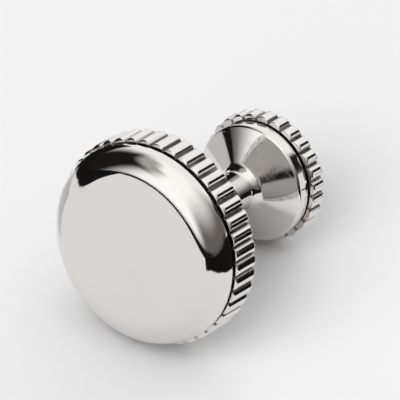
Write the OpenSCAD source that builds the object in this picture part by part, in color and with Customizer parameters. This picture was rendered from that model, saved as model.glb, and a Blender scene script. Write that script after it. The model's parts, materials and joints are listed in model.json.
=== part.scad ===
// Cufflink with a fixed double button: a round head with a reeded edge, a plain post
// and a small coned button that passes through the cuff's buttonholes.
// Every piece is turned about the link's own axis, from the front face at zero to the
// button's back. Then each is laid down as the link rests on a table, on its two reeded
// rings, with the front face turned up a little towards the viewer.
// Lengths are in millimetres.

/* [Head] */
// Diameter over the reeds of the head's ring
ring_d = 17.0; // [14:0.1:20]
// Width of the head's reeded ring
ring_w = 2.4; // [2:0.1:4]
// Wall of that ring, from the reeds' crests to the bore
ring_wall = 1.6; // [1.3:0.05:2]
// How far the polished cap's side stands back from the reeds' crests
cap_inset = 0.35; // [0.1:0.05:0.6]
// Radius of the rounded edge between the cap's flat face and its side
edge_r = 2.2; // [1.8:0.05:2.6]
// Width of the dark seam between the cap and the ring
seam_w = 0.25; // [0.1:0.05:0.5]
// Depth of that seam, measured in from the cap's side
seam_depth = 0.5; // [0.2:0.05:0.6]
// Thickness of the cap's face
cap_t = 1.0; // [0.6:0.05:1.2]
// Wall of the cap's skirt
skirt_wall = 0.8; // [0.4:0.05:1.2]
// Length of the skirt inside the ring
skirt_len = 0.8; // [0.4:0.05:1.2]
// Thickness of the base plate
plate_t = 0.8; // [0.5:0.05:1]
// How far the base plate laps over its shoulder in the ring
plate_lap = 0.4; // [0.2:0.05:0.5]

/* [Post] */
// Diameter of the post
post_d = 3.0; // [2.4:0.1:4]
// Clear length between the head's ring and the button's lip
cuff_gap = 10.95; // [9:0.05:16]
// Diameter of the threaded tenons at both ends of the post
tenon_d = 2.0; // [1.6:0.1:2.2]

/* [Button] */
// Diameter over the reeds of the button's ring
button_d = 10.6; // [9:0.1:13]
// How far the lip and the domed cap stand back from the reeds' crests
lip_inset = 0.5; // [0.2:0.05:0.8]
// Width of the lip round the cone
lip_w = 1.1; // [0.6:0.05:1.6]
// Chamfer between the cone and the lip
lip_chamfer = 0.2; // [0.1:0.05:0.4]
// Slope of the cone against the plane of the lip, in degrees
cone_slope = 23; // [15:1:35]
// Radius where the cone runs out into the post
neck_r = 1.0; // [0.4:0.1:1.5]
// Width of the button's reeded ring
button_ring_w = 1.4; // [1.2:0.05:2.5]
// Wall of that ring, from the reeds' crests to the bore
button_wall = 1.3; // [1.2:0.05:1.6]
// Width of the seam between the lip and the button's ring
button_seam_w = 0.2; // [0.1:0.05:0.4]
// Depth of that seam, measured in from the lip
button_seam_depth = 0.4; // [0.2:0.05:0.5]
// Length of the cone's spigot inside the button's ring
cone_spigot_len = 0.3; // [0.2:0.05:0.4]
// Height of the straight edge of the cap that closes the button
dome_edge = 0.2; // [0.1:0.05:0.5]
// Height of the cap's dome above that edge
dome_h = 0.7; // [0.5:0.05:1.2]
// Length of the cap's spigot inside the button's ring
dome_spigot_len = 0.45; // [0.3:0.05:0.6]
// Wall of that spigot
dome_spigot_wall = 0.6; // [0.4:0.05:1]

/* [Reeds] */
// Number of reeds round the head
head_reeds = 42; // [24:2:60]
// Number of reeds round the button
button_reeds = 26; // [16:2:40]
// Depth of a reed, from its crest to the valley
reed_depth = 0.4; // [0.2:0.05:0.5]
// Chamfer on the edges of both rings
ring_chamfer = 0.2; // [0.05:0.05:0.3]

/* [Nuts] */
// Width of a nut across its flats
nut_flats = 4.0; // [3.4:0.1:4.6]
// Thickness of the nut inside the head
head_nut_t = 1.2; // [0.8:0.05:1.3]
// Thickness of the nut inside the button
button_nut_t = 0.9; // [0.6:0.05:1]
// How far a tenon stands out of its nut
tenon_proud = 0.1; // [0.05:0.05:0.2]
// Clear space between the button's tenon and the cap that closes it in
tenon_room = 0.2; // [0.1:0.05:0.3]
// Play between a piece and the bore that it enters
fit = 0.05; // [0.02:0.01:0.08]

/* [Hidden] */
$fn = 96;
reed_fn = 32;
dome_fn = 384;
overrun = 1;

// The face, the cap and the ring follow each other along the axis.
cap_d = ring_d - 2 * cap_inset;
face_d = cap_d - 2 * edge_r;
seat_d = cap_d - 2 * seam_depth;
ring_bore_d = ring_d - 2 * ring_wall;
skirt_d = ring_bore_d - 2 * fit;
ring_front = edge_r + seam_w;
ring_back = ring_front + ring_w;
plate_front = ring_back - plate_t;
plate_d = ring_bore_d + 2 * plate_lap;

// The post ends where the cone's neck begins.
lip_front = ring_back + cuff_gap;
lip_back = lip_front + lip_w;
lip_d = button_d - 2 * lip_inset;
cone_d = lip_d - 2 * lip_chamfer;
cone_foot = lip_front - tan(cone_slope) * (cone_d - post_d) / 2;
neck = cone_foot + neck_r * (tan(cone_slope) - 1 / cos(cone_slope));
button_seat_d = lip_d - 2 * button_seam_depth;
button_bore_d = button_d - 2 * button_wall;
spigot_d = button_bore_d - 2 * fit;

// The ring, the nut and the cap close the button from behind.
button_front = lip_back + button_seam_w;
button_back = button_front + button_ring_w;
cone_back = button_front + cone_spigot_len;
tenon_end = cone_back + button_nut_t + tenon_proud;
button_end = button_back + dome_edge + dome_h;
dome_r = (pow(lip_d / 2, 2) + pow(dome_h, 2)) / (2 * dome_h);

// Two neighbouring reeds of each ring touch the table, one on each side of the middle.
function reed_centre(d, count) = (pow(d / 2, 2) - pow(d / 2 - reed_depth, 2))
    / (2 * (d / 2 - (d / 2 - reed_depth) * cos(180 / count)));
function reach(d, count) = d / 2 - reed_centre(d, count) * (1 - cos(180 / count));
head_reach = reach(ring_d, head_reeds);
button_reach = reach(button_d, button_reeds);
head_touch = ring_back - ring_chamfer;
button_touch = button_back - ring_chamfer;
tilt = atan((head_reach - button_reach) / (button_touch - head_touch));

// The origin lies under the middle of the link, on the table.
face_height = head_reach * cos(tilt) + head_touch * sin(tilt);
front_reach = edge_r - edge_r * cos(tilt) + face_d / 2 * sin(tilt);
dome_reach = (button_end - dome_r) * cos(tilt) + dome_r;
rim_reach = button_back * cos(tilt) + (button_d / 2 - ring_chamfer) * sin(tilt);
back_reach = max(dome_reach, rim_reach);
face_place = (front_reach - back_reach) / 2;

// Lays a piece down: its axis runs back from the face and sinks by the tilt.
module laid()
    translate([0, face_place, face_height])
        rotate([-90 - tilt, 0, 0])
            children();

// A flat ring or disc from one place on the axis to another.
module band(from, to, outer_d, inner_d = 0)
    translate([inner_d / 2, from])
        square([(outer_d - inner_d) / 2, to - from]);

// A tube with rounded reeds all round its outside and chamfered edges.
module reeded_tube(from, to, outer_d, bore_d, count) {
    centre = reed_centre(outer_d, count);
    difference() {
        intersection() {
            translate([0, 0, from])
                linear_extrude(to - from) {
                    circle(r = centre);
                    for (i = [0 : count - 1])
                        rotate(90 + (i + 0.5) * 360 / count)
                            translate([centre, 0])
                                circle(r = outer_d / 2 - centre, $fn = reed_fn);
                }
            rotate_extrude()
                polygon([
                    [0, from],
                    [outer_d / 2 - ring_chamfer, from],
                    [outer_d / 2, from + ring_chamfer],
                    [outer_d / 2, to - ring_chamfer],
                    [outer_d / 2 - ring_chamfer, to],
                    [0, to]
                ]);
        }
        translate([0, 0, from - overrun])
            cylinder(h = to - from + 2 * overrun, d = bore_d);
    }
}

// A hexagon nut from one place on the axis to another, bored for a tenon.
module hex_nut(from, to)
    difference() {
        translate([0, 0, from])
            cylinder(h = to - from, d = nut_flats / cos(30), $fn = 6);
        translate([0, 0, from - overrun])
            cylinder(h = to - from + 2 * overrun, d = tenon_d + 2 * fit);
    }

// The polished front: a cup with a rounded edge, whose skirt centres it in the ring.
module front_cap()
    color("gainsboro")
        laid()
            rotate_extrude()
                difference() {
                    union() {
                        band(0, edge_r, face_d);
                        intersection() {
                            translate([face_d / 2, edge_r])
                                circle(r = edge_r);
                            band(0, edge_r, cap_d);
                        }
                        band(edge_r, ring_front, seat_d);
                        band(ring_front, ring_front + skirt_len, skirt_d);
                    }
                    band(cap_t, ring_front + skirt_len + overrun, skirt_d - 2 * skirt_wall);
                }

// The coin edge of the head, with a shoulder inside for the base plate.
module reeded_ring()
    color("silver")
        laid()
            difference() {
                reeded_tube(ring_front, ring_back, ring_d, ring_bore_d, head_reeds);
                translate([0, 0, plate_front])
                    cylinder(h = plate_t + overrun, d = plate_d + 2 * fit);
            }

// The disc that closes the head from behind and carries the post.
module base_plate()
    color("lightgray")
        laid()
            rotate_extrude()
                band(plate_front, ring_back, plate_d, tenon_d + 2 * fit);

// The nut that clamps the post to the base plate, closed in by the cap.
module head_nut()
    color("goldenrod")
        laid()
            hex_nut(plate_front - head_nut_t, plate_front);

// The stem: it stands between head and button, with a thinner tenon at each end.
module post()
    color("silver")
        laid()
            rotate_extrude() {
                band(plate_front - head_nut_t - tenon_proud, ring_back, tenon_d);
                band(ring_back, neck, post_d);
                band(neck, tenon_end, tenon_d);
            }

// The coned inner face of the button, which runs out into the post.
module button_cone()
    color("gainsboro")
        laid()
            rotate_extrude()
                difference() {
                    union() {
                        polygon([
                            [0, neck],
                            [post_d / 2, neck],
                            [post_d / 2 + neck_r * (1 - sin(cone_slope)), neck + neck_r * cos(cone_slope)],
                            [cone_d / 2, lip_front],
                            [lip_d / 2, lip_front + lip_chamfer],
                            [lip_d / 2, lip_back],
                            [0, lip_back]
                        ]);
                        band(lip_back, button_front, button_seat_d);
                        band(button_front, cone_back, spigot_d);
                    }
                    translate([post_d / 2 + neck_r, neck])
                        circle(r = neck_r);
                    band(neck - overrun, cone_back + overrun, tenon_d + 2 * fit);
                }

// The coin edge of the button.
module button_ring()
    color("silver")
        laid()
            reeded_tube(button_front, button_back, button_d, button_bore_d, button_reeds);

// The nut that clamps the button to the post, closed in by the domed cap.
module button_nut()
    color("goldenrod")
        laid()
            hex_nut(cone_back, cone_back + button_nut_t);

// The domed back of the button, whose spigot centres it in the ring.
module button_cap()
    color("gainsboro")
        laid()
            rotate_extrude()
                difference() {
                    union() {
                        band(button_back - dome_spigot_len, button_back + dome_edge, spigot_d);
                        intersection() {
                            translate([0, button_end - dome_r])
                                circle(r = dome_r, $fn = dome_fn);
                            band(button_back, button_end, lip_d);
                        }
                    }
                    band(
                        button_back - dome_spigot_len - overrun,
                        tenon_end + tenon_room,
                        spigot_d - 2 * dome_spigot_wall
                    );
                }

front_cap();
reeded_ring();
base_plate();
head_nut();
post();
button_cone();
button_ring();
button_nut();
button_cap();
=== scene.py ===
# %% [markdown]
# # A fixed double-button cufflink
# The real link is a small piece of turned brass. A round head with a flat mirror face
# sits on a reeded ring like the edge of a coin. A plain post leads from its back to a
# button, which is small enough to slip through a buttonhole. Everything is plated
# white and polished, so the eye reads the shape only from what the metal reflects.
# That makes two jobs for this scene: outlines with true, smooth curves, and a calm
# studio for them to reflect.
#
# The construction comes first. The imported model gives each piece at its real size,
# lying as the link rests on a table. It is loaded before anything else.

# %% Load the construction
import bmesh
import bpy
import json
import math
from mathutils import Matrix, Vector


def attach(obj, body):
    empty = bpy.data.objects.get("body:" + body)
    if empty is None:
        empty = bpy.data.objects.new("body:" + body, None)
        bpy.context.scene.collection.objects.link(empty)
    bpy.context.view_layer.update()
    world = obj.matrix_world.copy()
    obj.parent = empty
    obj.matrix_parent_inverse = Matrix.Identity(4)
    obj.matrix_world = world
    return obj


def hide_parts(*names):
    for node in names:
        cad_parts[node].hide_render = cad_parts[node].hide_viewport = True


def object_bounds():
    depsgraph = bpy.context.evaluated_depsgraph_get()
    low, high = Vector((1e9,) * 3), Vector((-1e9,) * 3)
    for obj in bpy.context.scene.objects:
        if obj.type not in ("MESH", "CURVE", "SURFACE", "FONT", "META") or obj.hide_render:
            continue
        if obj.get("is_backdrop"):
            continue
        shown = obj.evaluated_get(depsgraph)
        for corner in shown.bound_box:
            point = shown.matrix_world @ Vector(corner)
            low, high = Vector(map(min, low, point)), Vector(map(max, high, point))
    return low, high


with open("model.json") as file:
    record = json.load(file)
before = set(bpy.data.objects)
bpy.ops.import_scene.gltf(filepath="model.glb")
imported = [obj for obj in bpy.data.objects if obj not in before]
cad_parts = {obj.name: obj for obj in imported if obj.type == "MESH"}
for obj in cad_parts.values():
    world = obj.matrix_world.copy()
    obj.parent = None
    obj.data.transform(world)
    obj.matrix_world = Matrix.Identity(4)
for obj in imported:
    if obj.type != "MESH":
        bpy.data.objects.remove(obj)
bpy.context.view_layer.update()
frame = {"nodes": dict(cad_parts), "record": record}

MM = 0.001
scene = bpy.context.scene
print("pieces:", ", ".join(sorted(frame["nodes"])))

# %% [markdown]
# ## The link's own axis
# Nearly every surface here was cut on a lathe, so it is easiest to describe along the
# turning axis: how far behind the face, and how far out from the middle. The link lies
# tilted, because its head is larger than its button. The record holds the place and
# direction of the front face, and one matrix made from them carries a piece from the
# lathe to the table. The direction "up the face" becomes the piece's own Y.

# %% Find the axis and measure the pieces along it
face_mount = next(m for m in frame["record"]["mounts"] if m["name"] == "front_face")
face_place = Vector(face_mount["pos_m"])
backwards = -Vector(face_mount["axis"])
sideways = Vector((1, 0, 0))
lathe = Matrix.Translation(face_place) @ Matrix(
    (sideways, backwards.cross(sideways), backwards)
).transposed().to_4x4()


def span(name):
    """How far behind the face a CAD piece begins and ends, and its largest radius, in mm."""
    piece = frame["nodes"][name]
    to_lathe = lathe.inverted() @ piece.matrix_world
    spots = [to_lathe @ v.co / MM for v in piece.data.vertices]
    along = [p.z for p in spots]
    return min(along), max(along), max(math.hypot(p.x, p.y) for p in spots)


cap_front, cap_back, cap_r = span("front_cap")
ring_front, ring_back, ring_r = span("reeded_ring")
plate_front, plate_back, plate_r = span("base_plate")
post_front, post_back, post_r = span("post")
cone_front, cone_back, lip_r = span("button_cone")
button_front, button_back, button_r = span("button_ring")
dome_front, dome_back, dome_r = span("button_cap")
print(f"head {2 * ring_r:.2f} mm, button {2 * button_r:.2f} mm, long {dome_back:.2f} mm")

# %% [markdown]
# ## Colours and nodes
# Blender mixes colours as linear light, while a colour given here is an sRGB hex
# value. One function turns the second into the first. Materials and the studio are
# node trees, and one small function adds a node, sets it and links it.

# %% Two helpers for every material


def linear(hex_colour):
    """An sRGB hex colour as the linear RGBA that shaders mix."""
    parts = [int(hex_colour[i : i + 2], 16) / 255 for i in (1, 3, 5)]
    return [p / 12.92 if p <= 0.04045 else ((p + 0.055) / 1.055) ** 2.4 for p in parts] + [1.0]


def add(tree, kind, inputs=None, **settings):
    """Adds a node. An input is a socket to link from, or a value."""
    node = tree.nodes.new(kind)
    for name, value in settings.items():
        setattr(node, name, value)
    for name, value in (inputs or {}).items():
        if isinstance(value, bpy.types.NodeSocket):
            tree.links.new(value, node.inputs[name])
        else:
            node.inputs[name].default_value = value
    return node


print("sRGB #808080 is", round(linear("#808080")[0], 3), "in linear light")

# %% [markdown]
# ## White plating on brass
# The bright parts are brass with a thin layer of a white precious metal, polished on a
# wheel. Metal takes its colour from how it reflects. The base colour is that
# reflectance, a slightly warm grey, and the IOR stays at its default.
#
# A mirror finish is never perfect. Its tint drifts, handling leaves dull spots and
# hairlines, the wheel leaves a wave, and grime stays in the seams, which painted shade
# darkens further. The next cells make these one after the other. A painted picture
# could hold them too. Noise is better here: it is measured in the link's own
# millimetres, so it has no seams and no pixels.
# Every metal begins and ends in the same way, which is the first pair of helpers.

# %% Begin and end a metal


def metal(name):
    """A new material, its empty node tree, and the place on the link in mm."""
    material = bpy.data.materials.new(name)
    material.use_nodes = True
    tree = material.node_tree
    tree.nodes.clear()
    place = add(tree, "ShaderNodeTexCoord").outputs["Object"]
    in_mm = add(tree, "ShaderNodeVectorMath", {0: place, "Scale": 1 / MM}, operation="SCALE").outputs[0]
    return material, tree, in_mm


def end_metal(tree, colour, rough, normal):
    """Ends a metal's tree with what it reflects, how rough it is and how it is bent."""
    shader = add(
        tree,
        "ShaderNodeBsdfPrincipled",
        {"Base Color": colour, "Metallic": 1.0, "Roughness": rough, "Normal": normal},
    )
    add(tree, "ShaderNodeOutputMaterial", {"Surface": shader.outputs[0]})


print(f"patterns are scaled in units of {MM} m")

# %% [markdown]
# ### Tint, grime and painted shade
# The plating's tint drifts a little over four or five millimetres. Grime gathers where
# no finger and no rag reaches, thicker in some places than in others. The same dark
# colour also paints the shade that falls into the seams and between the reeds. Each
# turned mesh carries a value called recess for that: 0 on open surfaces, 1 at the
# bottom of a seam or valley.

# %% Colour the plating
PLATING = "#e6e3e0"
PLATING_WARM = "#e1ddd9"
# the dark colour below is grime and also painted shade, for seams and the valleys between reeds
GRIME_AND_SHADE = "#35322e"
TINT_PER_MM = 0.22
GRIME_AND_SHADE_PER_MM = 0.9
GRIME_AND_SHADE_CUT = (0.3, 0.7)
THINNEST_GRIME_AND_SHADE = 0.7


def plating_colour(tree, in_mm, tints):
    """The colour of plating with grime and painted shade, and how much of those there is, from 0 to 1."""
    cloud = add(tree, "ShaderNodeTexNoise", {"Vector": in_mm, "Scale": TINT_PER_MM, "Detail": 2.0})
    tint = add(
        tree,
        "ShaderNodeMix",
        {0: cloud.outputs["Fac"], 6: linear(tints[0]), 7: linear(tints[1])},
        data_type="RGBA",
    ).outputs[2]
    recess = add(tree, "ShaderNodeAttribute", attribute_name="recess").outputs["Fac"]
    patches = add(tree, "ShaderNodeTexNoise", {"Vector": in_mm, "Scale": GRIME_AND_SHADE_PER_MM, "Detail": 4.0})
    lowest, highest = GRIME_AND_SHADE_CUT
    uneven = add(
        tree,
        "ShaderNodeMapRange",
        {"Value": patches.outputs["Fac"], 1: lowest, 2: highest, 3: THINNEST_GRIME_AND_SHADE, 4: 1.0},
    ).outputs[0]
    # grime and painted shade: darker where recess is high, in seams and between reeds
    grime_and_shade = add(
        tree,
        "ShaderNodeMath",
        {0: recess, 1: uneven},
        operation="MULTIPLY",
        use_clamp=True,
    ).outputs[0]
    colour = add(tree, "ShaderNodeMix", {0: grime_and_shade, 6: tint, 7: linear(GRIME_AND_SHADE)}, data_type="RGBA").outputs[2]
    return colour, grime_and_shade


print(f"tint drifts over {1 / TINT_PER_MM:.1f} mm, grime over {1 / GRIME_AND_SHADE_PER_MM:.1f} mm")

# %% [markdown]
# ### Dull spots
# Fingers and the wheel leave spots of about two millimetres that are a little rougher
# than the rest. Grime is far rougher than any of the metal, and blurs what the seams
# reflect.

# %% Roughen the plating
SPOTS_PER_MM = 0.5
SPOTS_CUT = (0.35, 0.75)
GRIME_ROUGHNESS = 0.45


def plating_roughness(tree, in_mm, grime_and_shade, roughness, smudge):
    """From this roughness where the metal is clear to smudge more in a spot, and rougher in grime."""
    spots = add(
        tree,
        "ShaderNodeTexNoise",
        {"Vector": in_mm, "Scale": SPOTS_PER_MM, "Detail": 5.0, "Roughness": 0.6},
    )
    lowest, highest = SPOTS_CUT
    dull = add(
        tree,
        "ShaderNodeMapRange",
        {"Value": spots.outputs["Fac"], 1: lowest, 2: highest, 3: roughness, 4: roughness + smudge},
    ).outputs[0]
    return add(
        tree,
        "ShaderNodeMix",
        {0: grime_and_shade, 2: dull, 3: GRIME_ROUGHNESS},
        data_type="FLOAT",
    ).outputs[0]


print(f"dull spots of {1 / SPOTS_PER_MM:.0f} mm")

# %% [markdown]
# ### Wave and hairlines
# The polishing wheel leaves a faint, slow wave. Handling leaves hairlines in all
# directions. A real hairline is about a hundredth of a millimetre wide, far less than a
# pixel, so these are drawn several times coarser than life, and kept weak, so that the
# surface still reads as a mirror. They are noise, drawn out along a line and cut so
# high that only a few thin streaks remain. Both are bumps and not geometry, because
# they bend a reflection without moving the surface by anything that could be seen.

# %% Wave and scratch the plating
MARK_DEPTH = 0.004
WAVE_STRENGTH = 0.35
HAIRLINE_LONG = 5.0
HAIRLINE_WIDE = 0.045
HAIRLINE_CUT = (0.72, 0.80)
HAIRLINE_WAYS = ((0.3, 0.9, 0.5), (1.2, 0.2, 2.1))
HAIRLINE_STRENGTH = 0.2


def wheel_polished(tree, in_mm, wave_mm):
    """The normal of polished metal, with a wave this long and two sets of hairlines."""
    lowest, highest = HAIRLINE_CUT
    size = (1 / HAIRLINE_LONG, 1 / HAIRLINE_WIDE, 1 / HAIRLINE_LONG)
    wave = add(tree, "ShaderNodeTexNoise", {"Vector": in_mm, "Scale": 1 / wave_mm, "Detail": 1.0})
    normal = add(
        tree,
        "ShaderNodeBump",
        {"Strength": WAVE_STRENGTH, "Distance": MARK_DEPTH * MM, "Height": wave.outputs["Fac"]},
    ).outputs[0]
    for way in HAIRLINE_WAYS:
        drawn = add(tree, "ShaderNodeMapping", {"Vector": in_mm, "Rotation": way, "Scale": size})
        streaks = add(tree, "ShaderNodeTexNoise", {"Vector": drawn.outputs[0], "Scale": 1.0, "Detail": 0.0})
        cuts = add(tree, "ShaderNodeMapRange", {"Value": streaks.outputs["Fac"], 1: lowest, 2: highest})
        normal = add(
            tree,
            "ShaderNodeBump",
            {
                "Strength": HAIRLINE_STRENGTH,
                "Distance": MARK_DEPTH * MM,
                "Height": cuts.outputs[0],
                "Normal": normal,
            },
            invert=True,
        ).outputs[0]
    return normal


print(f"hairlines {HAIRLINE_WIDE} mm wide")

# %% [markdown]
# ### Lathe rings
# A disc that was faced on the lathe keeps fine rings from the tool, round the link's
# axis. Real ones lie a few hundredths of a millimetre apart. These are drawn 0.3 mm
# apart, coarser than life, so that they show when light grazes the disc.

# %% Leave rings in the plating
RING_STRENGTH = 0.25
RING_DEPTH = 0.0025


def lathe_rings(tree, in_mm, ring_mm, normal):
    """Adds rings this far apart to a normal."""
    from_face = add(tree, "ShaderNodeVectorMath", {0: in_mm, 1: face_place / MM}, operation="SUBTRACT")
    across = add(
        tree,
        "ShaderNodeVectorMath",
        {0: from_face.outputs[0], 1: backwards},
        operation="CROSS_PRODUCT",
    )
    out = add(tree, "ShaderNodeVectorMath", {0: across.outputs[0]}, operation="LENGTH").outputs["Value"]
    turns = add(tree, "ShaderNodeMath", {0: out, 1: 2 * math.pi / ring_mm}, operation="MULTIPLY").outputs[0]
    groove = add(tree, "ShaderNodeMath", {0: turns}, operation="SINE").outputs[0]
    return add(
        tree,
        "ShaderNodeBump",
        {"Strength": RING_STRENGTH, "Distance": RING_DEPTH * MM, "Height": groove, "Normal": normal},
    ).outputs[0]


print(f"lathe rings are a bump of {RING_DEPTH} mm")

# %% [markdown]
# ### Four finishes
# The cap and the dome were polished to a mirror. The knurled rings were tumbled, which
# leaves a shorter wave and softer reflections. The post and the cone come between the
# two. The back of the head was only faced and plated, so it keeps its rings and is
# duller than the rest. Its colour is also darker than the rest: painted shade, which
# the cone reflects as a dark wedge.

# %% Make the plated finishes
# the back plate's tints are darker than the other plating: painted shade, which the cone reflects
PAINTED_SHADE_TINTS = ("#b8b6b4", "#b0aeac")
FACED_RINGS = 0.3


def plated(name, roughness, smudge, wave_mm, ring_mm=None, tints=(PLATING, PLATING_WARM)):
    """White plating. ring_mm is the spacing of lathe rings, if they were left."""
    material, tree, in_mm = metal(name)
    colour, grime_and_shade = plating_colour(tree, in_mm, tints)
    rough = plating_roughness(tree, in_mm, grime_and_shade, roughness, smudge)
    normal = wheel_polished(tree, in_mm, wave_mm)
    if ring_mm:
        normal = lathe_rings(tree, in_mm, ring_mm, normal)
    end_metal(tree, colour, rough, normal)
    print("made", name)
    return material


polished_plating = plated("white plating, mirror polished", roughness=0.035, smudge=0.03, wave_mm=3.0)
reeded_plating = plated("white plating, knurled and tumbled", roughness=0.07, smudge=0.05, wave_mm=0.8)
turned_plating = plated(
    "white plating, fine turned",
    roughness=0.07,
    smudge=0.05,
    wave_mm=2.0,
    ring_mm=FACED_RINGS,
    tints=PAINTED_SHADE_TINTS,
)
stem_plating = plated("white plating, polished stem", roughness=0.05, smudge=0.04, wave_mm=1.5)

# %% [markdown]
# ## Bare brass
# The two nuts are closed in by the caps and were never plated. They keep their CAD
# shape and get machined brass: yellow, a little dull, with a fine grain from the tool
# and darker tarnish in patches of about a millimetre. Tarnish is also rougher.

# %% Make the brass and give it to the nuts
BRASS = "#dcc07c"
TARNISH = "#8f7440"
TARNISH_PER_MM = 1.2
FRESH_ROUGHNESS = 0.2
TARNISHED_ROUGHNESS = 0.45
GRAIN_PER_MM = 9.0
GRAIN_STRENGTH = 0.3
GRAIN_DEPTH = 0.01
brass, tree, in_mm = metal("machined brass")
patches = add(tree, "ShaderNodeTexNoise", {"Vector": in_mm, "Scale": TARNISH_PER_MM, "Detail": 5.0})
colour = add(
    tree,
    "ShaderNodeMix",
    {0: patches.outputs["Fac"], 6: linear(BRASS), 7: linear(TARNISH)},
    data_type="RGBA",
).outputs[2]
rough = add(
    tree,
    "ShaderNodeMapRange",
    {"Value": patches.outputs["Fac"], 3: FRESH_ROUGHNESS, 4: TARNISHED_ROUGHNESS},
).outputs[0]
grain = add(tree, "ShaderNodeTexNoise", {"Vector": in_mm, "Scale": GRAIN_PER_MM, "Detail": 3.0})
normal = add(
    tree,
    "ShaderNodeBump",
    {"Strength": GRAIN_STRENGTH, "Distance": GRAIN_DEPTH * MM, "Height": grain.outputs["Fac"]},
).outputs[0]
end_metal(tree, colour, rough, normal)
for name in ("head_nut", "button_nut"):
    nut = frame["nodes"][name]
    nut.data.materials.clear()
    nut.data.materials.append(brass)
print("made", brass.name)

# %% [markdown]
# ## An outline with true curves
# A lathe cuts a shape from its outline, and so does this code: a list of corners in
# millimetres, each with a radius, becomes a smooth line. A real edge is never sharp,
# and on polished metal the tiny round on it catches a thin bright line that the eye
# expects. So the corners that show have a round of about the size called SOFT, or a
# larger one, and only hidden corners stay square. A short extra row beside each arc
# keeps flat faces flat under smooth shading, where a mirror would show any bend.

# %% Round an outline's corners
SOFT = 0.06
ARC_STEP = math.radians(4)
LEAST_STEPS = 3
GUARD = 0.03  # from an arc to its extra row
FLAT_SPAN = 0.15  # only longer stretches get the extra rows


def guarded(points, closed):
    """Adds a row close to both ends of each long straight stretch."""
    result = []
    ends = points[1:] + points[:1] if closed else points[1:]
    for a, b in zip(points, ends):
        result.append(a)
        if (b - a).length > FLAT_SPAN:
            step = (b - a).normalized() * GUARD
            result += [a + step, b - step]
    if not closed:
        result.append(points[-1])
    return result


def rounded(corners, closed=False):
    """(along, out, radius) corners in mm as points, with an arc at each corner that has a radius."""
    points = []
    count = len(corners)
    for i, (along, out, radius) in enumerate(corners):
        here = Vector((along, out))
        if not radius or (not closed and i in (0, count - 1)):
            points.append(here)
            continue
        before = (Vector(corners[i - 1][:2]) - here).normalized()
        after = (Vector(corners[(i + 1) % count][:2]) - here).normalized()
        inside = before.angle(after)
        reach = radius / math.tan(inside / 2)
        middle = here + (before + after).normalized() * (radius / math.sin(inside / 2))
        first = here + before * reach - middle
        last = here + after * reach - middle
        turn = first.angle_signed(last)
        steps = max(LEAST_STEPS, math.ceil(abs(turn) / ARC_STEP))
        for k in range(steps + 1):
            angle = -turn * k / steps
            spot = Vector(
                (
                    first.x * math.cos(angle) - first.y * math.sin(angle),
                    first.x * math.sin(angle) + first.y * math.cos(angle),
                )
            )
            points.append(middle + spot)
    return guarded(points, closed)


square_corner = rounded([(0, 0, 0), (0, 5, 1), (5, 5, 0)])
print("a rounded square corner takes", len(square_corner), "points")

# %% [markdown]
# ## From an outline to a piece
# Blender's Screw modifier could spin an outline. Doing it in the mesh keeps control
# over two things that a mirror shows at once: where the rows lie, and how the ends
# close on the axis. The same code then also takes rows that aren't round, which the
# reeded rings need. The ends on the axis become one point each.

# %% Join rows round the axis into a piece
SHARP = math.radians(40)
SEGMENTS = 240
ON_AXIS = 1e-6


def put(name, data):
    """Puts a mesh, a camera or a lamp into the scene."""
    thing = bpy.data.objects.new(name, data)
    scene.collection.objects.link(thing)
    return thing


def drawn_mesh(name, mesh):
    """Turns a bmesh into mesh data, and frees it."""
    data = bpy.data.meshes.new(name)
    mesh.to_mesh(data)
    mesh.free()
    return data


def joined(name, rows, material, closed, recess, on_axis):
    """Joins rows of points round the axis into a piece. rows[i][j] is point i of the outline at turn j."""
    mesh = bmesh.new()
    layer = mesh.verts.layers.float.new("recess")
    grid = []
    for i, row in enumerate(rows):
        if i in on_axis:
            row = row[:1]
        line = []
        for x, y, z in row:
            vertex = mesh.verts.new(lathe @ Vector((x * MM, y * MM, z * MM)))
            vertex[layer] = recess(z, math.hypot(x, y), math.atan2(y, x))
            line.append(vertex)
        grid.append(line)
    pairs = list(zip(grid, grid[1:] + grid[:1])) if closed else list(zip(grid, grid[1:]))
    around = max(len(line) for line in grid)
    for low, high in pairs:
        for j in range(around):
            k = (j + 1) % around
            corners = [low[j % len(low)], low[k % len(low)], high[k % len(high)], high[j % len(high)]]
            mesh.faces.new(list(dict.fromkeys(corners)))
    bmesh.ops.recalc_face_normals(mesh, faces=mesh.faces)
    data = drawn_mesh(name, mesh)
    data.shade_smooth()
    data.set_sharp_from_angle(angle=SHARP)
    data.materials.append(material)
    piece = put(name, data)
    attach(piece, "root")
    print(f"{name}: {len(data.polygons)} faces")
    return piece


def turned(name, corners, material, closed=False, recess=lambda along, out, turn: 0.0):
    """Spins an outline round the axis. An open outline starts and ends on the axis."""
    points = rounded(corners, closed)
    turns = [2 * math.pi * j / SEGMENTS for j in range(SEGMENTS)]
    rows = [[(p.y * math.cos(t), p.y * math.sin(t), p.x) for t in turns] for p in points]
    on_axis = {i for i, p in enumerate(points) if p.y < ON_AXIS}
    return joined(name, rows, material, closed, recess, on_axis)


print("a turned piece has", SEGMENTS, "columns")

# %% [markdown]
# ## The front cap
# The front is a shallow cup, pressed and then polished: a flat face, a generous round
# edge and a skirt that centres it in the ring. Behind the round edge it is cut back,
# which leaves the dark seam in front of the reeds. The seam is geometry, so it stays
# dark from every side, and its walls also get grime and painted shade.

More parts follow.
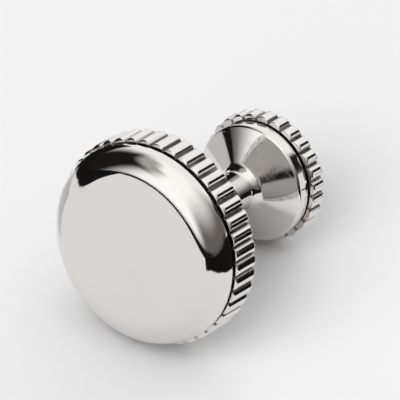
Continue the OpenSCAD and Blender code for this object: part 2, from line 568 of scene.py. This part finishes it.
# %% Turn the front cap
EDGE_R = 2.2
CAP_T = 1.0
SEAM_DEPTH = 0.5
SKIRT_R = 6.85
SKIRT_WALL = 0.8
seat_r = cap_r - SEAM_DEPTH
front_cap = turned(
    "polished_front",
    [
        (cap_front, 0, 0),
        (cap_front, cap_r, EDGE_R - SOFT),
        (EDGE_R, cap_r, SOFT / 2),
        (EDGE_R, seat_r, SOFT),
        (ring_front, seat_r, 0),
        (ring_front, SKIRT_R, 0),
        (cap_back, SKIRT_R, SOFT),
        (cap_back, SKIRT_R - SKIRT_WALL, SOFT),
        (CAP_T, SKIRT_R - SKIRT_WALL, SOFT),
        (CAP_T, 0, 0),
    ],
    polished_plating,
    # the seam behind the round edge gets grime and painted shade
    recess=lambda along, out, turn: float(along > EDGE_R and out > SKIRT_R),
)
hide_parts("front_cap")

# %% [markdown]
# ## The reeded rings
# Both rings have round reeds side by side, rolled in like a coin's edge, and their ends
# were rounded afterwards. Each reed is one arc. Two neighbours meet in a narrow valley.
# A displaced texture could suggest this, but the reeds break the silhouette and the
# contact with the table, so they are modelled. The ring is a grid: one column per step
# round the axis, and in each column the outline of the ring at that depth.

# %% Write down how a reeded ring is made
REED_DEPTH = 0.4
REED_ROUND = 0.2
REED_STEPS = 18
END_STEPS = 5
VALLEY_ROUND = 0.05
# The valleys between the reeds are darkened: grime, and painted shade between two reeds.
GRIME_AND_SHADE_START = 0.6  # of the way from a crown to a valley, where the grime begins
GRIME_AND_SHADE_FULL = 0.95  # of that way, from where the grime is thick


def reeded(name, front, back, radius, count, bore_r, shoulder=None):
    """A ring with rounded reeds. shoulder is where a wider bore begins, and that bore's radius."""
    valley = radius - REED_DEPTH
    half = math.pi / count
    centre = (radius**2 - valley**2) / (2 * (radius - valley * math.cos(half)))
    reed_r = radius - centre
    columns = []
    for j in range(count * REED_STEPS):
        turn = 2 * math.pi * (j + 0.5) / (count * REED_STEPS)
        from_crest = (turn + half) % (2 * half) - half
        across = centre * math.sin(from_crest)
        out = centre * math.cos(from_crest) + math.sqrt(reed_r**2 - across**2)
        out = max(out, valley + VALLEY_ROUND)
        cut = max(out - (radius - REED_ROUND), VALLEY_ROUND / 2)
        outline = [(front, bore_r), (front, (bore_r + valley) / 2), (front, out - cut)]
        for k in range(1, END_STEPS + 1):
            a = math.pi / 2 * k / END_STEPS
            outline.append((front + cut * (1 - math.cos(a)), out - cut * (1 - math.sin(a))))
        outline += [(front + REED_ROUND + GUARD, out), (back - REED_ROUND - GUARD, out)]
        for k in range(END_STEPS + 1):
            a = math.pi / 2 * k / END_STEPS
            outline.append((back - cut * (1 - math.sin(a)), out - cut * (1 - math.cos(a))))
        if shoulder:
            step_at, step_r = shoulder
            outline += [(back, step_r), (step_at, step_r), (step_at, bore_r)]
        else:
            outline += [(back, (bore_r + valley) / 2), (back, bore_r)]
        columns.append([(r * math.cos(turn), r * math.sin(turn), along) for along, r in outline])
    rows = [list(row) for row in zip(*columns)]

    # grime and painted shade between the reeds follow this value
    def in_valley(along, out, turn):
        """0 on the crown of a reed and on the ring's ends, 1 down between two reeds."""
        from_crown = abs((turn + half) % (2 * half) - half) / half
        part = max(0.0, min(1.0, (from_crown - GRIME_AND_SHADE_START) / (GRIME_AND_SHADE_FULL - GRIME_AND_SHADE_START)))
        return part * part * (3 - 2 * part) if out > valley else 0.0

    return joined(name, rows, reeded_plating, True, in_valley, set())


print(f"reeds {REED_DEPTH} mm deep, {REED_STEPS} columns each")

# %% [markdown]
# The two rings have the same reeds, and so the larger one has more of them. The head's
# ring has a shoulder inside, against which the base plate lies.

# %% Build the two rings
HEAD_REEDS = 42
HEAD_BORE_R = 6.9
PLAY = 0.05
BUTTON_REEDS = 26
BUTTON_BORE_R = 4.0
seat = (plate_front, plate_r + PLAY)
reeded_ring = reeded("head_coin_edge", ring_front, ring_back, ring_r, HEAD_REEDS, HEAD_BORE_R, seat)
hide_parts("reeded_ring")
button_ring = reeded(
    "button_coin_edge", button_front, button_back, button_r, BUTTON_REEDS, BUTTON_BORE_R
)
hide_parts("button_ring")

# %% [markdown]
# ## The base plate and the post
# A flat disc closes the head from behind. It was faced on the lathe, and its rings are
# left in the plating. The post passes through it and is clamped by a nut inside. It is
# thinner at both ends, where it passes through the plate and the cone, so each end is a
# tenon with a shoulder.

# %% Turn the base plate and the post
TENON_R = 1.0
base_plate = turned(
    "head_back_plate",
    [
        (plate_front, TENON_R + PLAY, 0),
        (plate_back, TENON_R + PLAY, 0),
        (plate_back, plate_r, SOFT),
        (plate_front, plate_r, SOFT),
    ],
    turned_plating,
    closed=True,
    # the plate's rim against the ring gets grime and painted shade
    recess=lambda along, out, turn: float(out > plate_r - SOFT),
)
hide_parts("base_plate")

neck = cone_front
post = turned(
    "plain_post",
    [
        (post_front, 0, 0),
        (post_front, TENON_R, SOFT),
        (plate_back, TENON_R, 0),
        (plate_back, post_r, 0),
        (neck, post_r, 0),
        (neck, TENON_R, 0),
        (post_back, TENON_R, SOFT),
        (post_back, 0, 0),
    ],
    stem_plating,
)
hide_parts("post")

# %% [markdown]
# ## The button's cone
# The inner side of the button is a low cone that runs out of the post in a smooth
# curve, so that the cuff slides over it. At its rim it rounds over into a short
# cylindrical lip, and behind the lip it is cut back for a fine seam before the reeds.
# The spigot behind that centres it in the ring.

# %% Turn the cone
CONE_SLOPE = math.radians(23)
NECK_R = 1.0
JUST_INSIDE = 0.999  # of the neck's radius, so that its arc begins behind the corner before it
LIP_CHAMFER = 0.2
LIP_ROUND = 0.25
LIP_W = 1.1
BUTTON_SEAM_DEPTH = 0.4
SPIGOT_R = 3.95
lip_front = neck + NECK_R * (1 / math.cos(CONE_SLOPE) - math.tan(CONE_SLOPE))
lip_front += math.tan(CONE_SLOPE) * (lip_r - LIP_CHAMFER - post_r)
lip_back = lip_front + LIP_W
tangent = math.tan((math.pi / 2 - CONE_SLOPE) / 2)
button_cone = turned(
    "coned_inner_face",
    [
        (neck, TENON_R + PLAY, 0),
        (neck, post_r, 0),
        (neck + NECK_R * tangent, post_r, NECK_R * JUST_INSIDE),
        (lip_front + LIP_CHAMFER * math.tan(CONE_SLOPE), lip_r, LIP_ROUND),
        (lip_back, lip_r, SOFT),
        (lip_back, lip_r - BUTTON_SEAM_DEPTH, SOFT),
        (button_front, lip_r - BUTTON_SEAM_DEPTH, 0),
        (button_front, SPIGOT_R, 0),
        (cone_back, SPIGOT_R, 0),
        (cone_back, TENON_R + PLAY, 0),
    ],
    stem_plating,
    closed=True,
    # the seam and spigot behind the lip get grime and painted shade
    recess=lambda along, out, turn: float(along > lip_back),
)
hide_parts("button_cone")

# %% [markdown]
# ## The button's domed cap
# A shallow dome closes the button from behind, so that it feels smooth on the wrist. It
# is part of a sphere, and its points are worked out from that sphere, because a list of
# a few corners would show as facets in the polish. It is hollow, with room for the nut.

# %% Turn the domed cap
DOME_EDGE = 0.2
DOME_WALL = 0.6
DOME_ROOM = 1.5
DOME_STEPS = 24
dome_h = dome_back - button_back - DOME_EDGE
sphere_r = (dome_r**2 + dome_h**2) / (2 * dome_h)
sphere_middle = dome_back - sphere_r
rim_angle = math.asin(dome_r / sphere_r)
dome_line = [
    (
        sphere_middle + sphere_r * math.cos(rim_angle * k / DOME_STEPS),
        sphere_r * math.sin(rim_angle * k / DOME_STEPS),
        0,
    )
    for k in range(DOME_STEPS)
]
button_cap = turned(
    "domed_back",
    dome_line
    + [
        (dome_back - dome_h, dome_r, SOFT),
        (button_back, dome_r, SOFT / 2),
        (button_back, SPIGOT_R, 0),
        (dome_front, SPIGOT_R, 0),
        (dome_front, SPIGOT_R - DOME_WALL, 0),
        (button_front + DOME_ROOM, SPIGOT_R - DOME_WALL, 0),
        (button_front + DOME_ROOM, 0, 0),
    ],
    polished_plating,
)
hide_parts("button_cap")

# %% [markdown]
# ## The floor
# A plain pale surface, matt like heavy paper. It reaches the horizon in every view, and
# the mirror face reflects it too, which is where its even, pale tone comes from.

# %% Lay the floor
FLOOR_COLOUR = "#f0f0f1"
FLOOR_R = 2.5  # metres
FLOOR_CORNERS = 128


def matt(name, hex_colour):
    """Paper or board: fully rough, and without the sheen that would whiten a grazing view."""
    material = bpy.data.materials.new(name)
    material.use_nodes = True
    shader = material.node_tree.nodes["Principled BSDF"]
    shader.inputs["Base Color"].default_value = linear(hex_colour)
    shader.inputs["Roughness"].default_value = 1.0
    shader.inputs["Specular IOR Level"].default_value = 0.0
    return material


floor_mesh = bmesh.new()
bmesh.ops.create_circle(floor_mesh, cap_ends=True, radius=FLOOR_R, segments=FLOOR_CORNERS)
floor = put("floor", drawn_mesh("floor", floor_mesh))
floor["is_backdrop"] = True
floor.data.materials.append(matt("pale matt paper", FLOOR_COLOUR))
print(f"floor: {2 * FLOOR_R} m across")

# %% [markdown]
# ## The camera
# The photograph looks down at the link from in front and to its right, from a good
# distance, so its lines hardly converge. A long lens from the same side does the same.
# Distances are in metres, and the sensor and the lens are in millimetres.

# %% Place the camera
AZIMUTH = math.radians(37)
ELEVATION = math.radians(41.2)
DISTANCE = 0.8
FRAME_WIDTH = 0.031
SENSOR = 36


def aim(thing, where):
    """Faces a camera or a lamp to the link. where is its direction as the link sees it."""
    thing.rotation_mode = "QUATERNION"
    thing.rotation_quaternion = (-where).to_track_quat("-Z", "Y")


low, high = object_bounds()
middle = (low + high) / 2
towards_camera = Vector(
    (
        math.sin(AZIMUTH) * math.cos(ELEVATION),
        -math.cos(AZIMUTH) * math.cos(ELEVATION),
        math.sin(ELEVATION),
    )
)
camera_data = bpy.data.cameras.new("camera")
camera_data.sensor_width = SENSOR
camera_data.lens = SENSOR * DISTANCE / FRAME_WIDTH
camera_data.clip_start = 0.01
camera_data.clip_end = 20
camera = put("camera", camera_data)
camera.location = middle + towards_camera * DISTANCE
aim(camera, towards_camera)
scene.camera = camera
print(f"lens {camera_data.lens:.0f} mm at {DISTANCE} m")

# %% [markdown]
# ## The room
# Polished metal is lit by its surroundings, so the room matters as much as the lamps.
# The world here is a pale room with a few large panels. Each one has a middle heading,
# in degrees to the right of straight ahead from the camera, and a half width. Its
# bottom and top are degrees above the horizon. Every edge has a fade, also in degrees,
# which is centred on the edge. Bright panels are soft boxes and white walls. Dark ones
# are the unlit parts of the room, and they give the metal its black lines. Later panels
# cover earlier ones. The band along the horizon stays pale, as the backdrop.

# %% List the panels
ROOM_COLOUR = "#f3f3f3"
BLACK = "#1b1918"
SKIRTING = (1.5, 0.4)
PANELS = [
    # name; middle heading, half width, fade; bottom, fade; top, fade; colour, strength
    ("white wall behind the link", (15, 60, 20), (3, 2), (80, 20), "#ffffff", 1.08),
    ("white ceiling", (0, 200, 1), (62, 20), (100, 1), "#ffffff", 1.22),
    ("soft box over the left shoulder", (-140, 40, 46), (14, 2), (68, 12), "#ffffff", 1.25),
    ("grey wall to the right", (132, 60, 30), SKIRTING, (40, 40), "#6d6966", 1.0),
    ("gap under the right wall", (140, 50, 20), SKIRTING, (7.5, 11), BLACK, 1.0),
    ("dark doorway on the right", (69, 9, 8), SKIRTING, (24, 8), BLACK, 1.0),
    ("grey strip above the unlit side", (-65, 46, 34), (40, 8), (72, 14), "#b5b2af", 1.0),
    ("unlit side of the room", (-63, 38, 30), SKIRTING, (50, 12), "#1f1b18", 1.0),
    ("gap under the left soft box", (-151, 46, 12), SKIRTING, (9, 3), BLACK, 1.0),
]
print("panels:", ", ".join(row[0] for row in PANELS))

# %% [markdown]
# A panel needs no mesh. The world knows the direction of each ray, and from it the
# height above the horizon and the heading. Four soft edges multiplied together give a
# mask, and the mask mixes the panel's colour over what was there before.

# %% Build the room
world = bpy.data.worlds.new("studio")
world.use_nodes = True
scene.world = world
room = world.node_tree
room.nodes.clear()
direction = add(room, "ShaderNodeTexCoord").outputs["Generated"]
rise = add(room, "ShaderNodeSeparateXYZ", {0: direction}).outputs["Z"]
height = add(room, "ShaderNodeMath", {0: rise}, operation="ARCSINE").outputs[0]


def heading(degrees):
    """The level direction that lies this far to the right of straight ahead."""
    turn = math.radians(degrees) - AZIMUTH
    return Vector((math.sin(turn), math.cos(turn), 0))


def edge(angle, at, fade, inside):
    """A panel's edge: the angle at which it lies, and its fade. inside is 1 above it or 0 below it."""
    return add(
        room,
        "ShaderNodeMapRange",
        {
            "Value": angle,
            1: math.radians(at - fade / 2),
            2: math.radians(at + fade / 2),
            3: 1.0 - inside,
            4: inside,
        },
        interpolation_type="SMOOTHSTEP",
    ).outputs[0]


colour = linear(ROOM_COLOUR)
for name, (towards, half, side_fade), bottom, top, hex_colour, strength in PANELS:
    ahead, right = (
        add(room, "ShaderNodeVectorMath", {0: direction, 1: heading(way)}, operation="DOT_PRODUCT")
        for way in (towards, towards + 90)
    )
    turn = add(
        room,
        "ShaderNodeMath",
        {0: right.outputs["Value"], 1: ahead.outputs["Value"]},
        operation="ARCTAN2",
    ).outputs[0]
    off = add(room, "ShaderNodeMath", {0: turn}, operation="ABSOLUTE").outputs[0]
    mask = edge(off, half, side_fade, 0.0)
    for side in (edge(height, *bottom, 1.0), edge(height, *top, 0.0)):
        mask = add(room, "ShaderNodeMath", {0: mask, 1: side}, operation="MULTIPLY").outputs[0]
    panel = [c * strength for c in linear(hex_colour)[:3]] + [1.0]
    colour = add(room, "ShaderNodeMix", {0: mask, 6: colour, 7: panel}, data_type="RGBA").outputs[2]
background = add(room, "ShaderNodeBackground", {"Color": colour, "Strength": 1.0})
add(room, "ShaderNodeOutputWorld", {"Surface": background.outputs[0]})
print("the room has", len(room.nodes), "nodes")

# %% [markdown]
# ## The cards
# The room can't be seen below the horizon, because the pale floor lies there, and on
# its own the floor would leave the lower half of every polished curve white. A studio
# answers that with black cards that stand round the metal. Each one here is a folded
# strip, on its edge. How near its foot stands sets how far down the curve the black
# reaches, and its height sets how far up. The low card behind the button tapers at its
# ends, so that its reflection has no corners. A low white card brightens part of the
# cone. Only reflections see the cards: they are hidden from the camera, so that other
# views look past them, and they cast no shadow.

# %% Stand the cards round the link
WHITE = "#f3f3f3"
CARDS = [
    # name, colour; feet: heading in degrees, distance from the link's middle in mm, height in mm
    (
        "black_card_left",
        BLACK,
        (
            (-110, 59, 22), (-102, 66, 22), (-90, 87, 22), (-78, 112, 22), (-66, 95, 22), (-54, 68, 22),
            (-42, 34, 22), (-28, 20, 22),
        ),
    ),
    (
        "black_card_right",
        BLACK,
        (
            (92, 18, 12), (102, 20, 12), (114, 27, 14), (126, 35, 15), (138, 50, 17), (150, 65, 18),
            (162, 90, 20), (174, 125, 21), (186, 110, 21), (192, 105, 21),
        ),
    ),
    (
        "black_card_behind",
        BLACK,
        (
            (-16, 28, 0.5), (-6, 28, 2.5), (6, 28, 4.5), (18, 27, 5.5), (30, 24, 6), (42, 21, 6),
            (54, 22, 5), (66, 24, 3), (78, 27, 0.5),
        ),
    ),
    ("white_card_left", WHITE, ((-92, 22, 8), (-78, 22, 9), (-64, 24, 9), (-54, 26, 8))),
]
for name, hex_colour, feet in CARDS:
    card_mesh = bmesh.new()
    folds = []
    for degrees, distance, tall in feet:
        foot = heading(degrees) * distance * MM
        folds.append([card_mesh.verts.new(foot + Vector((0, 0, z * MM))) for z in (0, tall)])
    for (foot, top), (next_foot, next_top) in zip(folds, folds[1:]):
        card_mesh.faces.new((foot, next_foot, next_top, top))
    card = put(name, drawn_mesh(name, card_mesh))
    card.data.materials.append(matt(name.replace("_", " "), hex_colour))
    card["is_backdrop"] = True
    card.visible_camera = card.visible_diffuse = card.visible_shadow = False
    print(f"{name}: {len(folds)} folds")

# %% [markdown]
# ## The lamp
# The panels light the floor from everywhere, which leaves hardly any shadow. One soft
# lamp in the direction of the left soft box adds a shadow with a direction. It is a
# sun lamp, 40 degrees wide, so that it lights the floor evenly out to the horizon. The
# metal doesn't reflect it, because the soft box in the room already stands there.

# %% Hang the lamp
LAMP_HEADING = -145
LAMP_HEIGHT = 50
LAMP_WIDTH = 40
LAMP_STRENGTH = 1.0
lamp_data = bpy.data.lights.new("left soft box", "SUN")
lamp_data.angle = math.radians(LAMP_WIDTH)
lamp_data.energy = LAMP_STRENGTH
lamp = put("left soft box", lamp_data)
lamp.visible_glossy = False
up = math.radians(LAMP_HEIGHT)
aim(lamp, heading(LAMP_HEADING) * math.cos(up) + Vector((0, 0, math.sin(up))))
print(f"lamp: {LAMP_STRENGTH} W per square metre from {LAMP_HEIGHT} degrees up")

# %% [markdown]
# ## Output
# The Standard view transform shows a colour as it was written.

# %% Set the view transform and finish
scene.view_settings.view_transform = "Standard"
bpy.context.view_layer.update()
